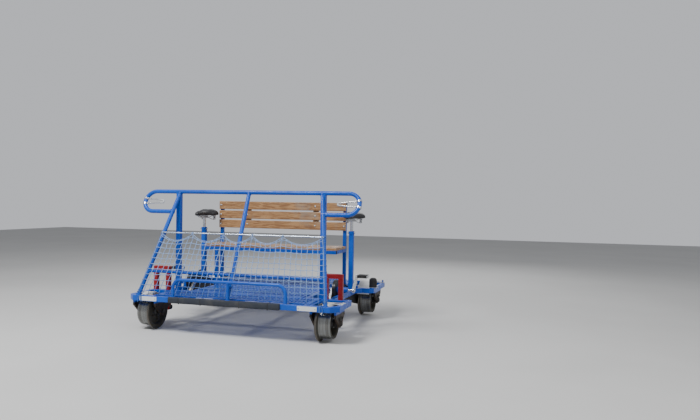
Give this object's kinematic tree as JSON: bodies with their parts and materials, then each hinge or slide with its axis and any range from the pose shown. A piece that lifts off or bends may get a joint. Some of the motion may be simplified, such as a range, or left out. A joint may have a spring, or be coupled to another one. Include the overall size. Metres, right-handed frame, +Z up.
{
  "type": "pedal rail handcar",
  "caption": "Pedal-driven rail handcar on flanged wheels: slotted deck, looped handlebar over a netted sloping front, side saddles with cranks and a passenger bench.",
  "frame": {"origin": "under the middle of the car, level with the lowest point of the wheel flanges", "axes": "+Z up, the front faces -Y, X runs across the car; left (-X) and right (+X) are as seen from the front"},
  "size_m": [1.8972, 1.6759, 1.1211],
  "materials": {
    "blue_paint": "gloss enamel, worn at edges",
    "deck_blue": "worn enamel on slotted steel",
    "red_paint": "gloss enamel",
    "bearing_red": "red-brown primer with grime",
    "shoe_iron": "dark casting",
    "white_paint": "gloss enamel",
    "plate_white": "satin, plain",
    "sleeve_rubber": "matt foam rubber",
    "black_rubber": "matt",
    "bright_steel": "bright plated",
    "rod_steel": "drawn",
    "wheel_steel": "rolling faces polished, rest dark",
    "net_rope": "braided cord",
    "saddle_cover": "satin vinyl",
    "bench_wood": "varnished slats",
    "case_black": "satin enamel"
  },
  "bodies": {
    "frame": {"axle_bearing_left": "bearing_red", "axle_bearing_right": "bearing_red", "bench_back": "bench_wood", "bench_frame": "blue_paint", "bench_seat": "bench_wood", "brake_frame_left": "red_paint", "brake_frame_right": "red_paint", "brake_lever_left": "bright_steel", "brake_lever_right": "bright_steel", "brake_shoe_left": "shoe_iron", "brake_shoe_right": "shoe_iron", "buffer_left": "black_rubber", "buffer_right": "black_rubber", "bumper_sleeve": "sleeve_rubber", "chain_case_left": "case_black", "chain_case_right": "case_black", "chassis_frame": "blue_paint", "floor_front": "deck_blue", "floor_main": "deck_blue", "floor_rear": "deck_blue", "front_frame": "blue_paint", "front_plate_left": "plate_white", "front_plate_right": "plate_white", "handlebar": "blue_paint", "mudguard_front_left": "white_paint", "mudguard_front_right": "white_paint", "mudguard_rear_left": "white_paint", "mudguard_rear_right": "white_paint", "net": "net_rope", "net_rod": "rod_steel", "saddle_left": "saddle_cover", "saddle_post_left": "blue_paint", "saddle_post_right": "blue_paint", "saddle_right": "saddle_cover", "seat_pin_left": "bright_steel", "seat_pin_right": "bright_steel"},
    "front_wheel_left": {"front_wheel_left": "wheel_steel"},
    "front_wheel_right": {"front_wheel_right": "wheel_steel"},
    "rear_wheelset": {"rear_wheelset": "wheel_steel"},
    "crank_left": {"crank_left": "bright_steel"},
    "pedal_inner_left": {"pedal_inner_left": "black_rubber"},
    "pedal_outer_left": {"pedal_outer_left": "black_rubber"},
    "crank_right": {"crank_right": "bright_steel"},
    "pedal_inner_right": {"pedal_inner_right": "black_rubber"},
    "pedal_outer_right": {"pedal_outer_right": "black_rubber"}
  },
  "joints": [
    {"name": "front_wheel_left_turn", "type": "hinge", "parent": "frame", "child": "front_wheel_left", "pos_m": [-0.743, -0.657, 0.142], "axis": [1, 0, 0], "continuous": true},
    {"name": "front_wheel_right_turn", "type": "hinge", "parent": "frame", "child": "front_wheel_right", "pos_m": [0.743, -0.657, 0.142], "axis": [1, 0, 0], "continuous": true},
    {"name": "rear_wheels_turn", "type": "hinge", "parent": "frame", "child": "rear_wheelset", "pos_m": [0, 0.553, 0.142], "axis": [1, 0, 0], "continuous": true},
    {"name": "crank_left_turn", "type": "hinge", "parent": "frame", "child": "crank_left", "pos_m": [-0.7185, -0.182, 0.322], "axis": [1, 0, 0], "continuous": true},
    {"name": "pedal_inner_left_turn", "type": "hinge", "parent": "crank_left", "child": "pedal_inner_left", "pos_m": [-0.579, -0.28807, 0.21593], "axis": [1, 0, 0], "continuous": true},
    {"name": "pedal_outer_left_turn", "type": "hinge", "parent": "crank_left", "child": "pedal_outer_left", "pos_m": [-0.861, -0.07593, 0.42807], "axis": [1, 0, 0], "continuous": true},
    {"name": "crank_right_turn", "type": "hinge", "parent": "frame", "child": "crank_right", "pos_m": [0.7185, -0.182, 0.322], "axis": [1, 0, 0], "continuous": true},
    {"name": "pedal_inner_right_turn", "type": "hinge", "parent": "crank_right", "child": "pedal_inner_right", "pos_m": [0.579, -0.28807, 0.21593], "axis": [1, 0, 0], "continuous": true},
    {"name": "pedal_outer_right_turn", "type": "hinge", "parent": "crank_right", "child": "pedal_outer_right", "pos_m": [0.861, -0.07593, 0.42807], "axis": [1, 0, 0], "continuous": true}
  ]
}
